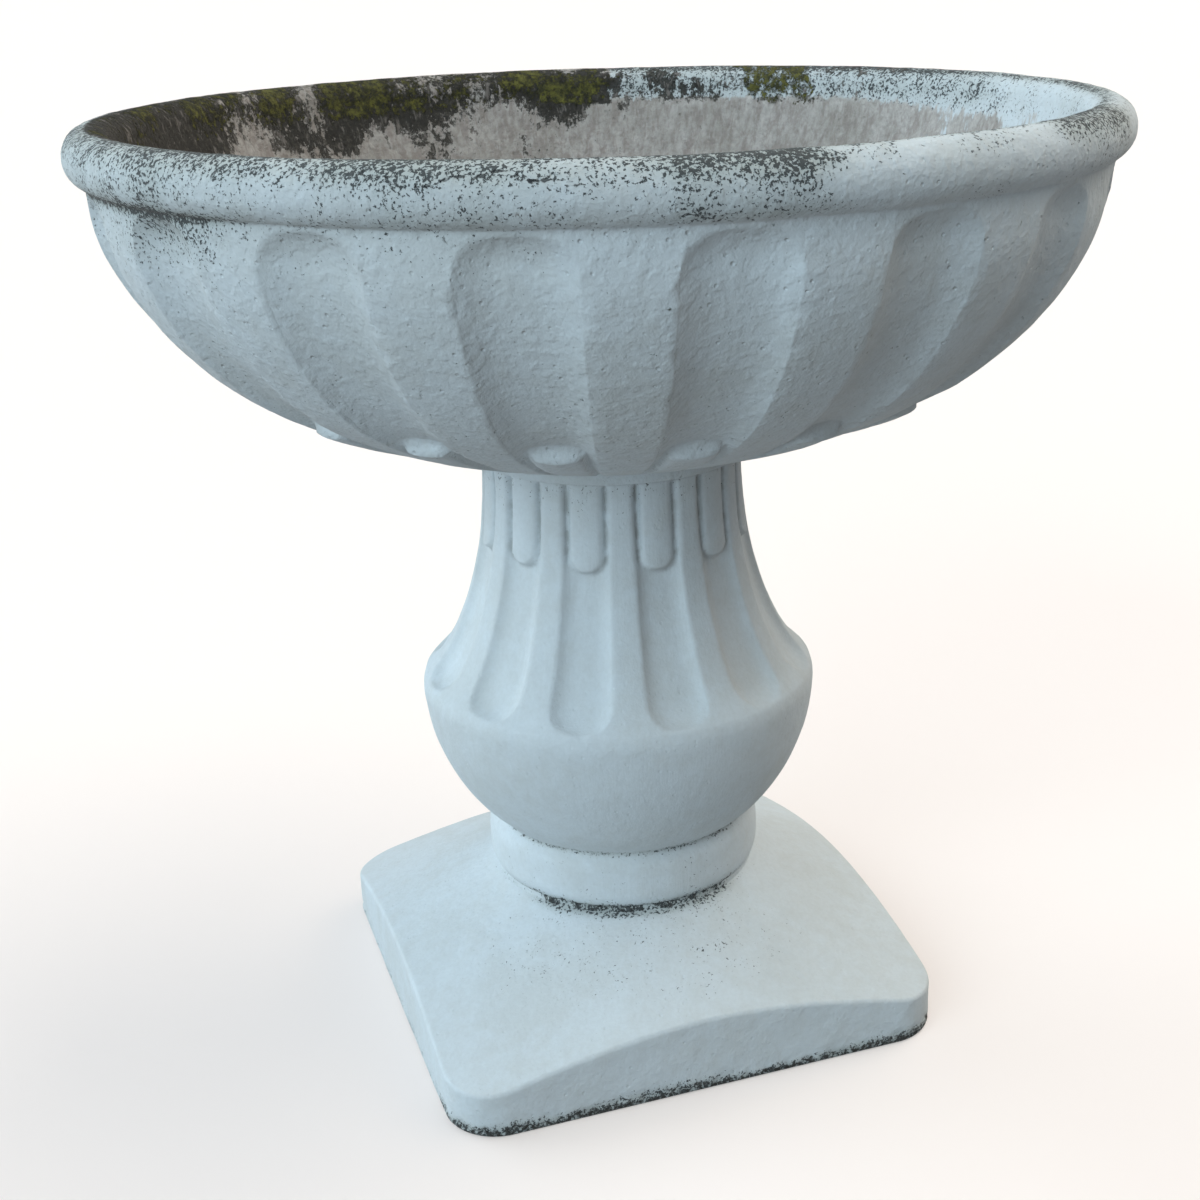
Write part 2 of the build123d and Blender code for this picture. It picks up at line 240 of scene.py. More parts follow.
def field(points, size, seed, octaves=3):
    """Smooth noise of about -1 to 1 at points in mm, with lumps of the given size."""
    shift = Vector((seed * 17.3, seed * 5.1, seed * 11.7))
    flat = points.reshape(-1, 3) / size
    values = [noise.fractal(Vector(p) + shift, 0.9, 2.1, octaves) for p in flat]
    return np.array(values).reshape(points.shape[:-1])


def lathe_mesh(name, grid, bored=False):
    """Closed mesh from rows of rings, (rows, columns, 3) in mm. Its ends close in a point, or,
    where it is bored through, the last row joins the first."""
    rows, columns = grid.shape[:2]
    first = np.arange(columns)
    after = (first + 1) % columns
    quads = []
    for r in range(rows if bored else rows - 1):
        low, high = r * columns, (r + 1) % rows * columns
        quads.append(np.stack([low + first, low + after, high + after, high + first], axis=1))
    faces = np.vstack(quads).tolist()
    vertices = grid.reshape(-1, 3)
    if not bored:
        foot, head = rows * columns, rows * columns + 1
        top = (rows - 1) * columns
        faces += [(foot, int(b), int(a)) for a, b in zip(first, after)]
        faces += [(head, int(top + a), int(top + b)) for a, b in zip(first, after)]
        vertices = np.vstack([vertices, grid[0].mean(0), grid[-1].mean(0)])
    vertices = vertices * MM
    mesh = bpy.data.meshes.new(name)
    mesh.from_pydata(vertices.tolist(), [], faces)
    mesh.shade_smooth()
    mesh.update()
    piece = bpy.data.objects.new(name, mesh)
    bpy.context.scene.collection.objects.link(piece)
    return piece


def paint_masks(piece, masks):
    """Stores four masks, each 0 to 1 over the grid, as the colour attribute 'weather'. The two
    points that close a mesh take the mean of their rows."""
    layers = [np.concatenate([m.reshape(-1), [m[0].mean(), m[-1].mean()]]) for m in masks]
    values = np.clip(np.stack(layers, axis=1), 0, 1).astype(np.float32)[:len(piece.data.vertices)]
    layer = piece.data.attributes.new("weather", "FLOAT_COLOR", "POINT")
    layer.data.foreach_set("color", values.reshape(-1))


def round_grid(radius, turn, height):
    """(rows, columns, 3) positions from radius, angle in degrees and height."""
    angle = np.radians(turn)
    return np.stack([radius * np.cos(angle), radius * np.sin(angle), height + 0 * angle], axis=2)


def rounded(across, along, roundness):
    """Distance from a flute's middle as a share of its outline, from the shares both ways."""
    return (across**roundness + along**roundness) ** (1 / roundness)


def bump_at(middle, value, width):
    """1 where value is at the middle, falling away smoothly over about width on both sides."""
    return np.exp(-(((value - middle) / width) ** 2))


def between(low, high, value, soft):
    """1 where value is between low and high, fading over soft outside."""
    return smoothstep(low - soft, low, value) * (1 - smoothstep(high, high + soft, value))


def view_angle(turn):
    """Angle round the axis from the camera's side, positive to the right, in degrees."""
    return (turn - VIEW_AZIMUTH + 180) % 360 - 180


# ---- bowl ---------------------------------------------------------------------------
def bowl_outline():
    """Bowl section from its socket, out along the foot, up the wall, round the rim, to the axis."""
    foot, edge = PEDESTAL_HEAD, BOWL_COLLAR_R
    tongues_from, tongues_to, heads_from = 402, 424, BOWL_HEAD_FOOT - 2
    wall = curve_through(WALL, 0.5)
    level = wall[:, 1]
    lower = wall[level < tongues_from]
    tongues = wall[(level >= tongues_from) & (level < tongues_to)]
    middle = wall[(level >= tongues_to) & (level < heads_from)]
    heads = wall[level >= heads_from]
    rim_low = arc((RIM_CENTRE_R, RIM_LEVEL - RIM_STRETCH), RIM_TUBE_R, -67, 0, 9)
    rim_high = arc((RIM_CENTRE_R, RIM_LEVEL), RIM_TUBE_R, 0, 180, 20)
    basin_foot = [(92, BASIN_FLOOR + 0.4), (74, BASIN_FLOOR + 0.1)]
    return outline([(END_RING_R, BOWL_SOCKET_END), (SOCKET_R, BOWL_SOCKET_END), (SOCKET_R, foot)],
                   [(30, foot), (56, foot), (76, foot), (82.6, foot), (83.6, foot + 0.4),
                    (edge, foot + 1.4), (edge, foot + 4.5), (edge + 0.2, foot + 7.0)],
                   even(lower, 3.2), even(tongues, 1.9), even(middle, 3.0), even(heads, 1.5),
                   [(290.4, RIM_FOOT + 0.8)], rim_low, rim_high, curve_through(BASIN, 7.0)[1:],
                   basin_foot + [(radius, BASIN_FLOOR) for radius in (52, 30, 10)])


def flute_columns(half, period, inside, outside):
    """Angles over one flute and the land after it, closer together near the flute's edges."""
    flute = half * np.sin(np.radians(np.linspace(-90, 90, inside + 1)))
    share = (1 - np.cos(np.radians(np.linspace(0, 180, outside + 1)))) / 2
    land = half + (period - 2 * half) * share
    return np.concatenate([flute, land[1:-1]])


def bowl_flute_depth(radius, height, offset):
    """Depth of the scoops and their raised tongues, all in mm."""
    width = radius * radians(BOWL_FLUTE_HALF)
    rise = np.clip((height - BOWL_HEAD_FOOT) / BOWL_HEAD_RISE, 0, None)
    share = rounded(np.abs(offset) / width, rise, BOWL_HEAD_ROUNDNESS)
    depth = BOWL_FLUTE_DEPTH_SHARE * width * np.clip(1 - share**3.0, 0, 1)
    cleared = smoothstep(-0.7, 0.9, bowl_tongue_reach(height, offset))
    crest = BOWL_TONGUE_RISE * (1 - (offset / BOWL_TONGUE_HALF) ** 2) * smoothstep(388, 411, height)
    return depth * cleared - crest * (1 - cleared)


def bowl_tongue_reach(height, offset):
    """Distance outside a flute's tongue along the wall, in mm, negative on the tongue."""
    half = np.interp(height, [PEDESTAL_HEAD, BOWL_TONGUE_END],
                     [BOWL_TONGUE_FOOT_HALF, BOWL_TONGUE_HALF])
    across = np.abs(offset) - half + BOWL_TONGUE_CORNER_R
    above = (height - BOWL_TONGUE_END) * RUN_PER_HEIGHT + BOWL_TONGUE_CORNER_R
    corner = np.hypot(np.clip(across, 0, None), np.clip(above, 0, None))
    reach = np.where((across > 0) & (above > 0), corner, np.maximum(across, above))
    return reach - BOWL_TONGUE_CORNER_R


def build_bowl():
    profile = Profile(bowl_outline())
    columns = flute_columns(BOWL_FLUTE_HALF, 360 / BOWL_FLUTES, 18, 10)
    starts = BOWL_FLUTE_START + np.arange(BOWL_FLUTES) * 360 / BOWL_FLUTES
    local = np.tile(columns, BOWL_FLUTES)[None, :]
    centre = np.repeat(starts, len(columns))[None, :]
    run = np.repeat(profile.run[:, None], local.shape[1], axis=1)
    radius, height, _, _ = profile.at(run)
    offset = radius * np.radians(local)
    row = np.arange(len(profile.points))
    widest = np.argmax(profile.points[:, 0])
    level = profile.points[:, 1]
    on_wall = (level > BOWL_COLLAR_TOP + 1) & (level < RIM_FOOT - 0.2) & (row < widest)

    def head_line(run, offset):
        radius, height, _, _ = profile.at(run)
        across = np.abs(offset) / (radius * radians(BOWL_FLUTE_HALF))
        rise = (height - BOWL_HEAD_FOOT) / BOWL_HEAD_RISE
        share = rounded(across, np.clip(rise, 0, None), BOWL_HEAD_ROUNDNESS) - 1
        return np.where(rise > 0, share, FAR)

    def tongue_line(run, offset):
        height = profile.at(run)[1]
        return np.where(height > 400, bowl_tongue_reach(height, offset), FAR)

    for line, reach in ((head_line, 0.72), (tongue_line, 0.92)):
        new_run, new_offset = snap(run, offset, line, reach)
        run = np.where(on_wall[:, None], new_run, run)
        offset = np.where(on_wall[:, None], new_offset, offset)
    radius, height, out_r, out_z = profile.at(run)
    turn = centre + np.degrees(offset / np.maximum(radius, 1e-6))
    skin = round_grid(radius, turn, height)

    wall = on_wall[:, None] * smoothstep(BOWL_COLLAR_TOP + 0.5, BOWL_COLLAR_TOP + 4, height)
    depth = bowl_flute_depth(radius, height, offset) * wall
    edge = bump_at(radius * radians(BOWL_FLUTE_HALF), np.abs(offset), 1.8)
    edge *= wall * (1 - smoothstep(BOWL_HEAD_FOOT - 6, BOWL_HEAD_FOOT + 2, height))
    chips = np.clip(field(skin, 9.0, 3) + 0.15, 0, 1)
    free = smoothstep(PEDESTAL_HEAD, PEDESTAL_HEAD + 4, height)
    inside = (row > widest)[:, None]
    rim = smoothstep(RIM_FOOT, RIM_START, height)
    lumps = 0.32 + 0.35 * field(skin, 55.0, 1) + 0.24 * field(skin, 14.0, 2)
    lumps += inside * (1 - rim) * 0.9 * field(skin, 22.0, 4)
    sink = np.clip(depth + edge * (0.35 + 1.5 * chips) + np.clip(lumps, 0, None) * free, -3, 12)
    skin = round_grid(radius - sink * out_r, turn, height - sink * out_z)

    bowl = lathe_mesh("bowl_casting", skin)
    look = view_angle(turn)
    paint_masks(bowl, bowl_masks(skin, radius, height, look, inside))
    paint_crack(bowl, look, radius, height)
    return bowl


def paint_crack(piece, look, radius, height):
    """Stores the distance in mm from the long hairline crack in the rim as 'crack'."""
    wander = 2.2 * np.sin(np.radians(look * 31)) + 1.4 * np.sin(np.radians(look * 83 + 40))
    beyond = np.clip(np.abs(look - CRACK_MIDDLE) - CRACK_HALF, 0, None)
    elsewhere = (radius < RIM_CENTRE_R) | (height < RIM_START)
    distance = np.abs(height - CRACK_LEVEL - wander) + beyond + CRACK_FREE * elsewhere
    distance = np.concatenate([distance.reshape(-1), [CRACK_FREE, CRACK_FREE]])
    layer = piece.data.attributes.new("crack", "FLOAT", "POINT")
    layer.data.foreach_set("value", distance.astype(np.float32))


def bowl_masks(skin, radius, height, look, inside):
    """Specks, moss, dark algae and bare concrete over the bowl, as four masks. The specks mask also
    holds painted shade in the crease under the rim and at the left end.
    """
    mottle = field(skin, 60.0, 7)
    patches = field(skin, 35.0, 8, 2)
    around = np.where(look > 0, look - 180, look + 180)  # 0 at the back, positive to the left
    around = around + 7 * field(skin, 24.0, 9)
    rim_top = smoothstep(RIM_LEVEL, RIM_LEVEL + 12, height)
    rim = smoothstep(RIM_FOOT, RIM_START, height)
    outside = 1 - inside * smoothstep(281, 276, radius)
    crease = bump_at(RIM_FOOT + 1, height, 3.0) * (1 - inside)
    # The left end of the rim and the wall below it are darkened through the specks mask: painted
    # shade, on top of their denser specks.
    left = between(-75, -44, look, 12)
    specks_and_shade = rim * (0.34 + (0.42 - 0.16 * left) * rim_top + 0.12 * left + 0.3 * mottle)
    specks_and_shade += rim * between(8, 17, look, 5) * 0.35 - rim * between(30, 120, look, 20) * 0.3
    specks_and_shade += rim * between(50, 64, look, 6) * 0.24
    # Painted shadow line in the crease under the rim, darkest at the left end, with real specks in
    # it.
    specks_and_shade += crease * (0.15 + 0.55 * left)
    wall = (1 - rim) * (1 - inside)
    specks_and_shade += wall * left * smoothstep(475, 535, height) * 0.38
    specks_and_shade += wall * between(-48, -10, look, 10) * smoothstep(500, 538, height) * 0.22
    inner = inside * smoothstep(290, 281, radius)
    mossy = between(3, 115, around, 7)
    band = smoothstep(543, 552, height)
    moss = inner * band * mossy * (0.62 - 0.25 * smoothstep(55, 90, around) + 0.6 * patches)
    moss += inner * band * between(-30, -23, around, 3) * 0.75
    algae = inner * mossy * (0.84 * smoothstep(507, RIM_LEVEL, height) +
                             0.7 * patches * smoothstep(462, 512, height))
    algae += inner * between(80, 108, around, 16) * smoothstep(468, 535, height) * 0.7
    algae += inner * band * between(-45, 3, around, 18) * (0.36 + 0.75 * patches)
    algae += inside * smoothstep(450, 408, height) * (0.24 + 0.5 * patches)
    right_end = between(-140, -85, around, 50) * smoothstep(485, 525, height)
    bare = inside * smoothstep(RIM_LEVEL, 544, height) * (1 - right_end * (0.6 - 0.6 * patches))
    bare = np.maximum(bare, inner * mossy)
    inner_specks = 0.62 - 0.25 * between(-110, -75, around, 20)
    specks_and_shade = specks_and_shade * outside + inner * band * (1 - mossy) * inner_specks
    specks_and_shade += inside * (1 - band) * (1 - mossy) * 0.12
    return [specks_and_shade, moss, algae, bare]


# ---- pedestal -----------------------------------------------------------------------
def pedestal_outline():
    """Pedestal section from the dowel hole, round the foot, up the side, to the head socket."""
    foot, head = PEDESTAL_FOOT, PEDESTAL_HEAD
    flute_feet_to, tongues_from, tongue_ends_to = 246, 300, 318
    neck = curve_through(NECK, 0.5)
    level = neck[:, 1]
    feet = neck[level < flute_feet_to]
    middle = neck[(level >= flute_feet_to) & (level < tongues_from)]
    ends = neck[(level >= tongues_from) & (level < tongue_ends_to)]
    upper = neck[level >= tongue_ends_to]
    return outline([(END_RING_R, DOWEL_TOP), (DOWEL_R, DOWEL_TOP), (DOWEL_R, foot), (30, foot),
                    (56, foot), (76, foot), (82, foot), (84, foot + 0.3), (85.0, foot + 1.3)],
                   curve_through(COLLAR, 1.7)[1:], curve_through(BULGE, 2.3)[1:],
                   even(feet, 1.4), even(middle, 2.6), even(ends, 1.5), even(upper, 3.0)[:-1],
                   [(80.4, head - 1.2), (80.0, head - 0.3), (79.0, head), (60, head), (36, head),
                    (SOCKET_R, head), (SOCKET_R, HEAD_SOCKET_END), (END_RING_R, HEAD_SOCKET_END)])


def pedestal_columns():
    """Angles over one flute and the land after it, with more beside the tongue's edges."""
    tongue = 7.0
    period = 360 / PEDESTAL_FLUTES
    middle = np.linspace(-tongue, tongue, 13)
    side = np.linspace(tongue, PEDESTAL_FLUTE_HALF, 6)[1:]
    land = np.linspace(PEDESTAL_FLUTE_HALF, period - PEDESTAL_FLUTE_HALF, 9)[1:-1]
    return np.concatenate([-side[::-1], middle, side, land])


def pedestal_share(radius, height, offset):
    """0 along a flute's middle and 1 on its edge, with a rounded foot."""
    across = np.abs(offset) / (radius * radians(PEDESTAL_FLUTE_HALF))
    fall = (PEDESTAL_FLUTE_FOOT - height) / PEDESTAL_FLUTE_FOOT_RISE + 1
    return rounded(across, np.clip(fall, 0, None), PEDESTAL_FLUTE_ROUNDNESS)


def tongue_reach(height, offset):
    """Distance outside the tongue in a flute's top, in mm, negative on the tongue."""
    straight = np.abs(offset) - PEDESTAL_TONGUE_HALF
    low = PEDESTAL_TONGUE_END + PEDESTAL_TONGUE_END_R
    across = np.clip(np.abs(offset) - (PEDESTAL_TONGUE_HALF - PEDESTAL_TONGUE_END_R), 0, None)
    below = np.clip(low - height, 0, None)
    return np.where(below > 0, np.hypot(across, below) - PEDESTAL_TONGUE_END_R, straight)


def build_pedestal():
    profile = Profile(pedestal_outline())
    columns = pedestal_columns()
    local = np.tile(columns, PEDESTAL_FLUTES)[None, :]
    starts = np.arange(PEDESTAL_FLUTES) * 360 / PEDESTAL_FLUTES
    centre = np.repeat(starts, len(columns))[None, :]
    run = np.repeat(profile.run[:, None], local.shape[1], axis=1)
    radius, height, _, _ = profile.at(run)
    offset = radius * np.radians(local)
    level = profile.points[:, 1]
    outer = profile.points[:, 0] > 79  # not in the socket
    on_neck = (level > NECK[0][1] + 0.1) & (level < PEDESTAL_HEAD - 0.5) & outer

    def foot_line(run, offset):
        radius, height, _, _ = profile.at(run)
        inside = height < PEDESTAL_FLUTE_FOOT + PEDESTAL_FLUTE_FOOT_RISE
        return np.where(inside, pedestal_share(radius, height, offset) - 1, FAR)

    def tongue_line(run, offset):
        height = profile.at(run)[1]
        return np.where(height < PEDESTAL_HEAD - 1, tongue_reach(height, offset), FAR)

    for line, reach in ((foot_line, 0.66), (tongue_line, 0.7)):
        new_run, new_offset = snap(run, offset, line, reach)
        run = np.where(on_neck[:, None], new_run, run)
        offset = np.where(on_neck[:, None], new_offset, offset)
    radius, height, out_r, out_z = profile.at(run)
    turn = centre + np.degrees(offset / np.maximum(radius, 1e-6))
    skin = round_grid(radius, turn, height)

    share = pedestal_share(radius, height, offset)
    depth = (4.3 + 0.03 * (radius - 80)) * np.clip(1 - share**3.6, 0, 1)
    beside = tongue_reach(height, offset)
    groove = TONGUE_GROOVE * bump_at(1.7, beside, 1.5)
    raised = 1 - smoothstep(-0.9, 0.9, beside)
    dome = 1.0 * np.clip(1 - (offset / PEDESTAL_TONGUE_HALF) ** 2, 0, 1)
    upper = smoothstep(PEDESTAL_TONGUE_END - 6, PEDESTAL_TONGUE_END + 8, height)
    depth = np.maximum(depth, groove * upper) * (1 - raised) + (0.9 - dome) * raised
    depth = depth * on_neck[:, None]
    edge = bump_at(0, (share - 1) * radius * radians(PEDESTAL_FLUTE_HALF), 1.3) * on_neck[:, None]
    seat = smoothstep(PEDESTAL_FOOT, PEDESTAL_FOOT + 3, height) * (
        1 - smoothstep(PEDESTAL_HEAD - 3, PEDESTAL_HEAD - 0.5, height))
    outside = (radius > 40).astype(float)
    lumps = 0.3 + 0.25 * field(skin, 45.0, 11) + 0.14 * field(skin, 10.0, 12)
    chips = np.clip(field(skin, 7.0, 13), 0, 1)
    sink = depth + (np.clip(lumps, 0, None) + edge * (0.1 + 0.5 * chips)) * seat * outside
    skin = round_grid(radius - sink * out_r, turn, height - sink * out_z)
    pedestal = lathe_mesh("pedestal_casting", skin)

    look = view_angle(turn)
    front = between(-45, 45, look, 25)
    mottle = field(skin, 40.0, 14)
    # Painted shade in the crease over the collar, darkened through the specks and grime masks, with
    # specks in it.
    crease = bump_at(COLLAR[-1][1], height, 2.6)
    foot = bump_at(PEDESTAL_FOOT, height, 4.0)
    specks_and_shade = crease * (0.25 + 0.35 * front) + foot * (0.35 + 0.35 * front)
    specks_and_shade += between(PEDESTAL_FOOT, 118, height, 6) * front * (0.1 + 0.1 * mottle)
    # Painted shade under the bowl: the top of the neck darkens towards the joint, with specks in
    # it.
    specks_and_shade += smoothstep(335, 362, height) * 0.24
    grime_and_shade = crease * (0.3 + 0.2 * front) + foot * (0.2 + 0.35 * front)
    grime_and_shade += smoothstep(352, 363, height) * 0.25 * (0.5 + mottle)
    # Painted shade in the grooves round the tongues, darkest where the grooves are deepest.
    groove_shade_mask = groove / TONGUE_GROOVE * upper * (1 - raised) * on_neck[:, None]
    paint_masks(pedestal, [specks_and_shade, 0 * specks_and_shade, grime_and_shade, groove_shade_mask])
    return pedestal


# ---- plinth -------------------------------------------------------------------------
def crown_height(radius):
    """Height of the plinth's crowned top, from the arc through its three points."""
    (x1, z1), (x2, z2), (x3, z3) = (PLINTH_SEAT_R, PLINTH_SEAT), CROWN_MID, CROWN_END
    d = 2 * (x1 * (z2 - z3) + x2 * (z3 - z1) + x3 * (z1 - z2))
    s1, s2, s3 = x1**2 + z1**2, x2**2 + z2**2, x3**2 + z3**2
    cx = (s1 * (z2 - z3) + s2 * (z3 - z1) + s3 * (z1 - z2)) / d
    cz = (s1 * (x3 - x2) + s2 * (x1 - x3) + s3 * (x2 - x1)) / d
    size = np.hypot(x1 - cx, z1 - cz)
    return np.where(radius < PLINTH_SEAT_R, PLINTH_SEAT,
                    cz - np.sqrt(size**2 - (np.maximum(radius, PLINTH_SEAT_R) - cx) ** 2))


def plinth_border(count):
    """Points and outward normals round the plinth's plan, a square with round corners."""
    flat = PLINTH_HALF - PLINTH_CORNER_R
    corner_run = PLINTH_CORNER_R * pi / 2
    side_run = 2 * flat
    per_side = round(count / 4 * side_run / (side_run + corner_run))
    per_corner = count // 4 - per_side
    points, normals = [], []
    for side in range(4):
        turn = side * pi / 2
        spin = np.array([[cos(turn), -sin(turn)], [sin(turn), cos(turn)]])
        for k in range(per_side):
            points.append(spin @ (PLINTH_HALF, -flat + side_run * k / per_side))
            normals.append(spin @ (1.0, 0.0))
        for k in range(per_corner):
            angle = pi / 2 * k / per_corner
            out = np.array((cos(angle), sin(angle)))
            points.append(spin @ (np.array((flat, flat)) + PLINTH_CORNER_R * out))
            normals.append(spin @ out)
    return np.array(points), np.array(normals)


def build_plinth():
    border, out = plinth_border(480)
    away = np.hypot(border[:, 0], border[:, 1])
    rings = []

    def ring(points, height):
        rings.append(np.column_stack([points, np.broadcast_to(height, len(points))]))

    unit = border / away[:, None]
    for radius in (4, 30, 60, 90, 120):
        ring(unit * radius, 0.0)
    for inset in (24, 12, 6, PLINTH_FOOT_CHAMFER + 1):
        ring(border - out * inset, 0.0)
    chamfer = arc((-PLINTH_FOOT_CHAMFER, PLINTH_FOOT_CHAMFER), PLINTH_FOOT_CHAMFER, -90, 0, 4)
    for inset, level in chamfer:
        ring(border + out * inset, level)
    top = crown_height(away)
    start = PLINTH_FOOT_CHAMFER
    for share in np.linspace(0, 1, 17)[1:]:
        ring(border, start + (top - PLINTH_EDGE_R - start) * share)
    for share in np.linspace(0, 90, 8)[1:]:
        inset = PLINTH_EDGE_R * (1 - cos(radians(share)))
        drop = PLINTH_EDGE_R * (1 - sin(radians(share)))
        spot = border - out * inset
        ring(spot, crown_height(np.hypot(spot[:, 0], spot[:, 1])) - drop)
    inner = border - out * (PLINTH_EDGE_R + 1.5)
    for share in np.linspace(0, 1, 40):
        goal = unit * JOINT_R
        spot = inner * (1 - share) + goal * share
        ring(spot, crown_height(np.hypot(spot[:, 0], spot[:, 1])))
    for radius in (83.5, 80, 76, 60, 40, 22, DOWEL_R):
        ring(unit * radius, PLINTH_SEAT)
    ring(unit * DOWEL_R, DOWEL_FOOT)
    ring(unit * END_RING_R, DOWEL_FOOT)
    skin = np.array(rings)

    reach = np.hypot(skin[..., 0], skin[..., 1])
    side = np.abs(skin[..., :2] - border[None]).sum(2) < 0.2
    height = skin[..., 2]
    free = smoothstep(0, 2, height) * smoothstep(88, 92, reach)
    lumps = 0.35 + 0.35 * field(skin, 60.0, 21) + 0.16 * field(skin, 12.0, 22)
    rough = np.clip(field(skin, 6.0, 23) + 0.1, 0, 1) * (1 - smoothstep(4, 13, height))
    outwards = np.concatenate([out, np.zeros((len(out), 1))], axis=1)[None]
    inset = np.linalg.norm(skin[..., :2] - border[None], axis=2)
    lean = smoothstep(0, PLINTH_EDGE_R, inset)[..., None]
    direction = outwards * (1 - lean) + np.array((0, 0, 1.0)) * lean
    push = (np.clip(lumps, 0, None) + 2.2 * rough * side)[..., None] * free[..., None]
    moved = skin - direction * push
    plinth = lathe_mesh("plinth_casting", moved)

    turn = np.degrees(np.arctan2(skin[..., 1], skin[..., 0]))
    look = view_angle(turn)
    mottle = field(skin, 40.0, 24)
    right_side = between(-30, 75, look, 12)
    foot = 1 - smoothstep(2, 15 + 7 * mottle, height)
    foot *= (side | (height < PLINTH_FOOT_CHAMFER + 0.5)) & (height > 0)
    joint = bump_at(JOINT_R, reach, 3.2) * (height > 80)
    front = between(-33, 42, look, 20)
    specks_and_shade = foot * (0.35 + 0.5 * right_side) + joint * (0.14 + 0.4 * front)
    specks_and_shade += (height > 50) * between(84, 130, reach, 20) * front * 0.17
    specks_and_shade += (reach < 165) * (height > 20) * 0.03
    grime_and_shade = foot * (0.15 + 0.55 * right_side) + joint * 0.3 * front
    paint_masks(plinth, [specks_and_shade, 0 * specks_and_shade, grime_and_shade, 0 * specks_and_shade])
    return plinth


def build_bedding():
    """Mortar bed with the dirt that gathers in clumps round its edge, most of it in front."""
    columns = 900
    turn = np.arange(columns)[None, :] * 360 / columns
    half = (PEDESTAL_FOOT - PLINTH_SEAT) / 2
    under = [(DOWEL_R + 0.2, -half), (40, -half), (BED_EDGE_R - 4, -half)]
    lip = np.stack([np.full(9, BED_EDGE_R), np.linspace(-half - 0.9, half + 0.9, 9)], axis=1)
    over = [(radius, half) for radius, _ in reversed(under)]
    section = np.vstack([under, lip, over])[:, :, None]
    on_lip = (section[:, 0] == BED_EDGE_R) * (1 - 0.4 * np.abs(section[:, 1] / half))
    skin = round_grid(section[:, 0], turn, section[:, 1])
    front = between(-33, 42, view_angle(turn), 9)
    clump = np.clip(field(skin, 9.0, 31) + 0.05 + 0.3 * front, 0, 1) * front
    crumb = np.clip(0.6 + field(skin, 2.6, 32, 2), 0.1, 1.4)
    growth = 2.8 * clump * crumb
    radius = section[:, 0] + growth * on_lip
    height = PLINTH_SEAT + half + section[:, 1]
    bedding = lathe_mesh("mortar_bedding", round_grid(radius, turn, height), bored=True)
    dirt = smoothstep(0.02, 0.3, clump)
    specks_and_shade = 0.3 + 0.4 * front + 0.3 * dirt
    grime_and_shade = 0.15 * front + 0.4 * dirt
    paint_masks(bedding, [specks_and_shade, 0 * dirt, grime_and_shade, 0 * dirt])
    return bedding


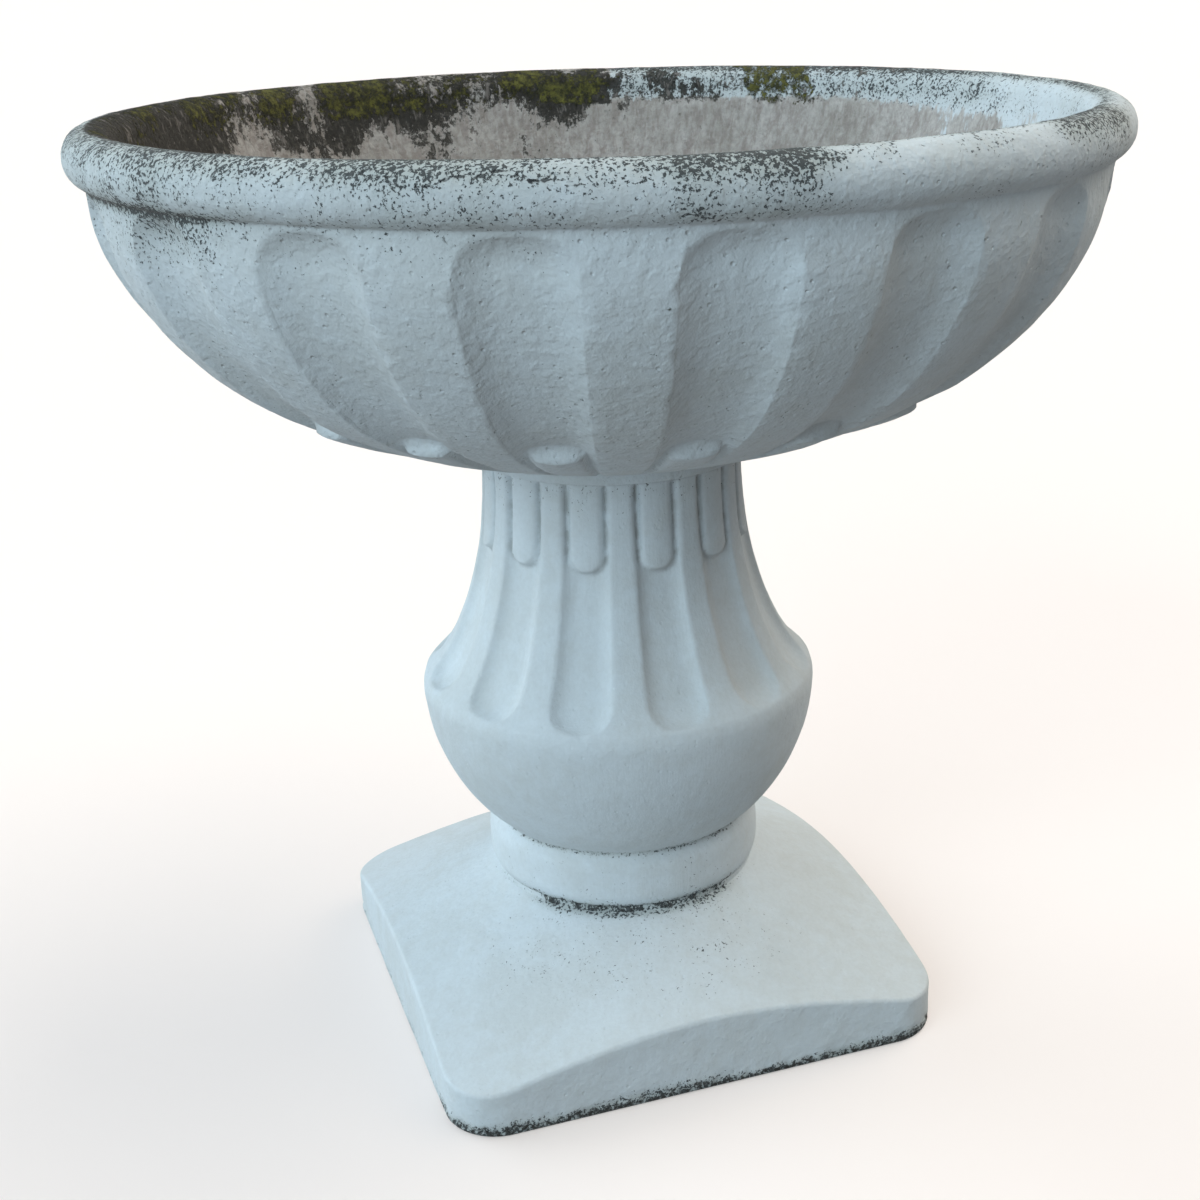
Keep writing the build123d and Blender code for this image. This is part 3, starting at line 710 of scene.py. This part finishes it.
# ---- materials ----------------------------------------------------------------------
class Look:
    """One procedural material under construction."""

    def __init__(self, name):
        self.material = bpy.data.materials.new(name)
        self.material.use_nodes = True
        self.tree = self.material.node_tree
        self.shader = self.tree.nodes["Principled BSDF"]
        self.place = self.add("ShaderNodeTexCoord").outputs["Object"]
        self.normal = None

    def add(self, kind, **settings):
        node = self.tree.nodes.new(kind)
        for name, value in settings.items():
            setattr(node, name, value)
        return node

    def put(self, socket, value):
        if isinstance(value, bpy.types.NodeSocket):
            self.tree.links.new(value, socket)
        else:
            socket.default_value = value

    def stretched(self, x, y, z):
        node = self.add("ShaderNodeMapping")
        self.put(node.inputs["Vector"], self.place)
        node.inputs["Scale"].default_value = (x, y, z)
        return node.outputs["Vector"]

    def noise(self, size, detail=2.0, rough=0.5, at=None, warp=0.0):
        """Noise with lumps of about size mm."""
        node = self.add("ShaderNodeTexNoise")
        self.put(node.inputs["Vector"], at or self.place)
        node.inputs["Scale"].default_value = 1 / (size * MM)
        node.inputs["Detail"].default_value = detail
        node.inputs["Roughness"].default_value = rough
        node.inputs["Distortion"].default_value = warp
        return node.outputs["Fac"]

    def cells(self, size):
        """Distance from the middles of cells of about size mm."""
        node = self.add("ShaderNodeTexVoronoi")
        self.put(node.inputs["Vector"], self.place)
        node.inputs["Scale"].default_value = 1 / (size * MM)
        return node.outputs["Distance"]

    def math(self, operation, a, b=0.0):
        node = self.add("ShaderNodeMath", operation=operation)
        self.put(node.inputs[0], a)
        self.put(node.inputs[1], b)
        return node.outputs[0]

    def times(self, a, b):
        return self.math("MULTIPLY", a, b)

    def plus(self, a, b):
        return self.math("ADD", a, b)

    def less(self, a, b):
        return self.math("SUBTRACT", a, b)

    def around_zero(self, value, gain):
        """Noise of 0 to 1, taken to -gain/2 to gain/2, to make an edge ragged."""
        return self.times(self.less(value, 0.5), gain)

    def fade(self, value, low, high, to_low=0.0, to_high=1.0):
        """value, taken smoothly from low..high to to_low..to_high."""
        node = self.add("ShaderNodeMapRange", interpolation_type="SMOOTHSTEP")
        for k, item in enumerate((value, low, high, to_low, to_high)):
            self.put(node.inputs[k], item)
        return node.outputs[0]

    def mix(self, amount, a, b):
        node = self.add("ShaderNodeMix", data_type="RGBA")
        self.put(node.inputs[0], amount)
        self.put(node.inputs[6], a if isinstance(a, bpy.types.NodeSocket) else (*a, 1.0))
        self.put(node.inputs[7], b if isinstance(b, bpy.types.NodeSocket) else (*b, 1.0))
        return node.outputs[2]

    def masks(self):
        """The four masks painted on the mesh."""
        layer = self.add("ShaderNodeAttribute", attribute_name="weather")
        parts = self.add("ShaderNodeSeparateColor")
        self.put(parts.inputs[0], layer.outputs["Color"])
        return [parts.outputs[k] for k in range(3)] + [layer.outputs["Alpha"]]

    def bump(self, height, depth):
        """Adds relief: height of 1 stands depth mm proud."""
        node = self.add("ShaderNodeBump")
        self.put(node.inputs["Height"], height)
        node.inputs["Distance"].default_value = depth * MM
        if self.normal:
            self.put(node.inputs["Normal"], self.normal)
        self.normal = node.outputs["Normal"]

    def done(self, colour, roughness):
        """The finished material, with these on its shader."""
        self.put(self.shader.inputs["Base Color"], colour)
        self.put(self.shader.inputs["Roughness"], roughness)
        self.shader.inputs["Specular IOR Level"].default_value = 0.35
        if self.normal:
            self.put(self.shader.inputs["Normal"], self.normal)
        return self.material


PAINT = (0.61, 0.67, 0.71)
PAINT_WORN = (0.57, 0.615, 0.635)
SPECK = (0.018, 0.021, 0.024)
SPECK_PALE = (0.05, 0.058, 0.06)
STAIN_AND_SHADE = (0.27, 0.30, 0.27)
SOOT_AND_SHADE = (0.026, 0.025, 0.022)
GROOVE_SHADE = (0.10, 0.095, 0.08)
MOSS = (0.17, 0.165, 0.035)
MOSS_DARK = (0.045, 0.045, 0.018)
ALGAE = (0.018, 0.017, 0.014)
ALGAE_PALE = (0.07, 0.064, 0.054)
BARE = (0.36, 0.325, 0.305)
BARE_PALE = (0.53, 0.51, 0.49)
BARE_DARK = (0.16, 0.14, 0.13)
BARE_STAIN = (0.24, 0.22, 0.19)
PAINT_DUST = (0.36, 0.38, 0.38)
RUST = (0.16, 0.06, 0.025)
RUST_PALE = (0.30, 0.13, 0.05)
MILL_SKIN = (0.33, 0.33, 0.34)


def painted_stone(name, grain_depth, brushed=False, weathered=False):
    """White masonry paint on cast stone. The masks painted on the mesh say where it has specks and
    dirt, painted shade in creases, grooves and under the bowl, and, on weathered stone, moss, algae
    and bare patches."""
    look = Look(name)
    # On stone that is not weathered, the third mask holds grime with painted shade and the fourth
    # holds painted shade in grooves.
    specks_and_shade, moss, algae, bare = look.masks()
    patchy = look.noise(11, 4, 0.6)
    fine = look.noise(2.6, 4, 0.65)
    sharp = look.noise(1.4, 3, 0.7)
    tone = look.plus(look.times(look.noise(70, 3, 0.55), 0.6), look.times(patchy, 0.4))
    colour = look.mix(look.fade(tone, 0.38, 0.64), PAINT, PAINT_WORN)
    colour = look.mix(look.fade(fine, 0.3, 0.75, 0.0, 0.12), colour, PAINT_DUST)

    spotted = speck_pattern(look, specks_and_shade)
    # Grey-green stain where the specks mask is strong. Where that mask holds painted shade, this
    # mix is painted shade.
    colour = look.mix(look.fade(specks_and_shade, 0.15, 0.95, 0.0, 0.55), colour, STAIN_AND_SHADE)
    colour = look.mix(look.times(spotted, 0.93), colour, look.mix(sharp, SPECK, SPECK_PALE))
    if weathered:
        colour = add_weather(look, colour, moss, algae, bare, tone)
    else:
        # Dark smear of grime, and painted shade where the grime mask holds it: the pedestal's
        # crease and the top of its neck.
        smear_and_shade = look.plus(algae, look.around_zero(look.noise(4, 5, 0.7), 1.8))
        colour = look.mix(look.fade(smear_and_shade, 0.5, 0.8, 0.0, 0.92), colour, SOOT_AND_SHADE)
        # Painted shade in the pedestal's grooves round the tongues, from the fourth mask.
        groove_shade = look.times(bare, look.fade(patchy, 0.4, 0.6, 0.08, 0.42))
        colour = look.mix(groove_shade, colour, GROOVE_SHADE)

    add_grain(look, grain_depth)
    if brushed:
        look.bump(look.noise(1.6, 4, 0.6, at=look.stretched(1, 1, 0.06)), 0.2)
    look.bump(look.times(spotted, sharp), 0.35)
    return look.done(colour, look.fade(fine, 0.3, 0.7, 0.72, 0.92))


def speck_pattern(look, specks_and_shade):
    """Small black lichen spots, 0 to 1, that run together where their mask is strong."""
    blotch = look.plus(look.times(look.noise(1.8, 4, 0.65, warp=0.25), 0.78),
                       look.times(look.noise(12, 3, 0.6), 0.22))
    limit = look.less(0.67, look.times(specks_and_shade, 0.22))
    spotted = look.fade(look.less(blotch, limit), -0.012, 0.022)
    return look.times(spotted, look.fade(specks_and_shade, 0.01, 0.08))


def add_weather(look, colour, moss, algae, bare, tone):
    """Bare stone, then black algae, moss and the crack over it. Returns the new colour."""
    streak = look.noise(5, 5, 0.65, at=look.stretched(1, 1, 0.22), warp=0.3)
    crumb = look.noise(4.0, 6, 0.75)
    stone = look.mix(look.fade(streak, 0.35, 0.62), BARE, BARE_PALE)
    stone = look.mix(look.fade(crumb, 0.35, 0.7, 0.0, 0.35), stone, BARE_DARK)
    stone = look.mix(look.fade(tone, 0.42, 0.62, 0.0, 0.4), stone, BARE_STAIN)
    ragged = look.plus(bare, look.around_zero(streak, 1.2))
    colour = look.mix(look.fade(ragged, 0.4, 0.6), colour, stone)

    both = look.plus(look.times(streak, 0.5), look.times(crumb, 0.5))
    dark = look.fade(look.plus(algae, look.around_zero(both, 3.4)), 0.42, 0.66)
    crust = look.mix(look.fade(crumb, 0.5, 0.68), ALGAE, ALGAE_PALE)
    crust = look.mix(look.fade(streak, 0.55, 0.67, 0.0, 0.4), crust, BARE)
    colour = look.mix(look.times(dark, 0.96), colour, crust)

    tuft = look.noise(5, 6, 0.78)
    green = look.fade(look.plus(moss, look.around_zero(tuft, 3.0)), 0.45, 0.8)
    hue = look.mix(look.fade(look.noise(6, 5, 0.75), 0.4, 0.62), MOSS_DARK, MOSS)
    colour = look.mix(green, colour, hue)

    distance = look.add("ShaderNodeAttribute", attribute_name="crack").outputs["Fac"]
    distance = look.math("ABSOLUTE", look.plus(distance, look.around_zero(crumb, 5.0)))
    crack = look.fade(distance, 0.25, 0.7, 1.0, 0.0)
    colour = look.mix(look.times(crack, 0.85), colour, SPECK)

    look.bump(look.less(1.0, crack), 0.8)
    look.bump(look.times(tuft, green), 3.0)
    look.bump(look.times(crumb, bare), 1.6)
    return colour


def add_grain(look, depth):
    """Relief of cast and painted stone: waves, orange peel, grain and scattered pits."""
    look.bump(look.noise(18, 2, 0.5), 0.7)
    look.bump(look.fade(look.noise(6.5, 2, 0.5), 0.42, 0.68), depth * 0.65)
    look.bump(look.noise(3.2, 3, 0.6), depth * 1.25)
    pits = look.fade(look.cells(6.0), 0.06, 0.22)
    chosen = look.fade(look.noise(14, 2, 0.5), 0.47, 0.57)
    look.bump(look.math("MAXIMUM", pits, look.less(1.0, chosen)), depth * 1.1)


def rusted_steel(name, rust_share):
    """Steel bar with rust in patches over a darker mill skin."""
    look = Look(name)
    patch = look.noise(9, 5, 0.7)
    flakes = look.noise(1.5, 4, 0.7)
    rust = look.mix(flakes, RUST, RUST_PALE)
    limit = 0.62 - 0.4 * rust_share
    covered = look.fade(patch, limit, limit + 0.1)
    colour = look.mix(covered, MILL_SKIN, rust)
    look.bump(flakes, 0.25)
    look.put(look.shader.inputs["Metallic"], look.fade(covered, 0, 1, 0.9, 0.1))
    return look.done(colour, look.fade(covered, 0, 1, 0.35, 0.9))


# ---- assembly -----------------------------------------------------------------------
def stand_for(node, piece, body, material):
    """Puts a piece and its material in the place of a CAD node."""
    piece.data.materials.append(material)
    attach(piece, body)
    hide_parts(node)


def dress():
    """Builds the pieces that stand for the concrete and mortar, and gives the steel its looks."""
    stand_for("bowl", build_bowl(), "bowl",
              painted_stone("weathered_bowl_stone", 0.46, weathered=True))
    stand_for("pedestal", build_pedestal(), "base",
              painted_stone("painted_pedestal_stone", 0.17, brushed=True))
    stand_for("plinth", build_plinth(), "base",
              painted_stone("painted_plinth_stone", 0.22))
    stand_for("plinth_bedding", build_bedding(), "base",
              painted_stone("painted_mortar", 0.3))

    bars = rusted_steel("rusted_reinforcement", 0.8)
    fittings = rusted_steel("pin_steel_look", 0.25)
    for name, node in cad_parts.items():
        if name in ("bowl", "pedestal", "plinth", "plinth_bedding"):
            continue
        fitting = name in ("bowl_pin", "plinth_dowel", "pedestal_head_sleeve", "bowl_sleeve")
        node.data.materials.clear()
        node.data.materials.append(fittings if fitting else bars)


def make_camera():
    camera = bpy.data.objects.new("camera", bpy.data.cameras.new("camera"))
    bpy.context.scene.collection.objects.link(camera)
    camera.data.sensor_width = CAMERA_SENSOR
    camera.data.lens = CAMERA_LENS
    camera.data.shift_x = CAMERA_SHIFT_X
    camera.data.clip_end = CAMERA_SEES
    level = cos(CAMERA_PITCH)
    ahead = Vector((sin(CAMERA_HEADING) * level, cos(CAMERA_HEADING) * level, -sin(CAMERA_PITCH)))
    right = ahead.cross(Vector((0, 0, 1))).normalized()
    up = right.cross(ahead)
    across = right * cos(CAMERA_ROLL) + up * sin(CAMERA_ROLL)
    upward = up * cos(CAMERA_ROLL) - right * sin(CAMERA_ROLL)
    turn = Matrix((across, upward, -ahead)).transposed().to_4x4()
    camera.matrix_world = Matrix.Translation(CAMERA_AT) @ turn
    bpy.context.scene.camera = camera


def sun(name, side, elevation, spread, colour, strength):
    """Soft distant light. side is degrees to the right of the camera's own direction."""
    light = bpy.data.lights.new(name, "SUN")
    light.angle = radians(spread)
    light.color = colour
    light.energy = strength
    lamp = bpy.data.objects.new(name, light)
    bpy.context.scene.collection.objects.link(lamp)
    azimuth = radians(VIEW_AZIMUTH + side)
    level, rise = cos(radians(elevation)), sin(radians(elevation))
    towards = Vector((cos(azimuth) * level, sin(azimuth) * level, rise))
    lamp.rotation_euler = towards.to_track_quat("Z", "Y").to_euler()


def stage_set(name, vertices, faces, colour, roughness, glow, glow_strength):
    """A glowing piece of the studio, in metres."""
    mesh = bpy.data.meshes.new(name)
    mesh.from_pydata(vertices, [], faces)
    piece = bpy.data.objects.new(name, mesh)
    bpy.context.scene.collection.objects.link(piece)
    look = Look(name + "_look")
    look.shader.inputs["Emission Color"].default_value = glow
    look.shader.inputs["Emission Strength"].default_value = glow_strength
    mesh.materials.append(look.done(colour, roughness))
    return piece


def make_studio():
    """Pale floor, a pale backdrop all round it that low views see, and soft lights."""
    reach = FLOOR_HALF
    floor = stage_set("floor", [(-reach, -reach, 0), (reach, -reach, 0), (reach, reach, 0),
                                (-reach, reach, 0)], [(0, 1, 2, 3)],
                      (0.66, 0.60, 0.58, 1.0), 0.9, (1.0, 0.97, 0.95, 1.0), 0.30)
    floor.visible_diffuse = False

    sides = BACKDROP_SIDES
    turns = [2 * pi * k / sides for k in range(sides)]
    rings = [(BACKDROP_R * cos(turn), BACKDROP_R * sin(turn), height)
             for height in (0, BACKDROP_R) for turn in turns]
    panels = [(k, (k + 1) % sides, sides + (k + 1) % sides, sides + k) for k in range(sides)]
    backdrop = stage_set("backdrop", rings, panels,
                         (0.0, 0.0, 0.0, 1.0), 1.0, (1.0, 0.99, 0.98, 1.0), 0.9)
    backdrop.visible_diffuse = False
    backdrop.visible_glossy = False
    backdrop.visible_shadow = False

    sun("left_front", -40, 18, 55, (0.71, 0.88, 0.97), 2.3)
    sun("left_back", -118, 22, 55, (0.82, 0.94, 1.0), 1.85)
    sun("right_high", 104, 56, 55, (1.0, 0.94, 0.82), 1.7)
    sun("right_back", 138, 18, 45, (1.0, 0.91, 0.80), 0.7)
    sun("overhead", 0, 80, 90, (0.72, 0.86, 1.0), 0.4)

    world = bpy.data.worlds.new("studio")
    bpy.context.scene.world = world
    world.use_nodes = True
    sky = world.node_tree.nodes["Background"]
    sky.inputs["Color"].default_value = (0.97, 1.0, 1.0, 1.0)
    sky.inputs["Strength"].default_value = 0.2
    bpy.context.scene.view_settings.view_transform = "Standard"


make_camera()
make_studio()
dress()
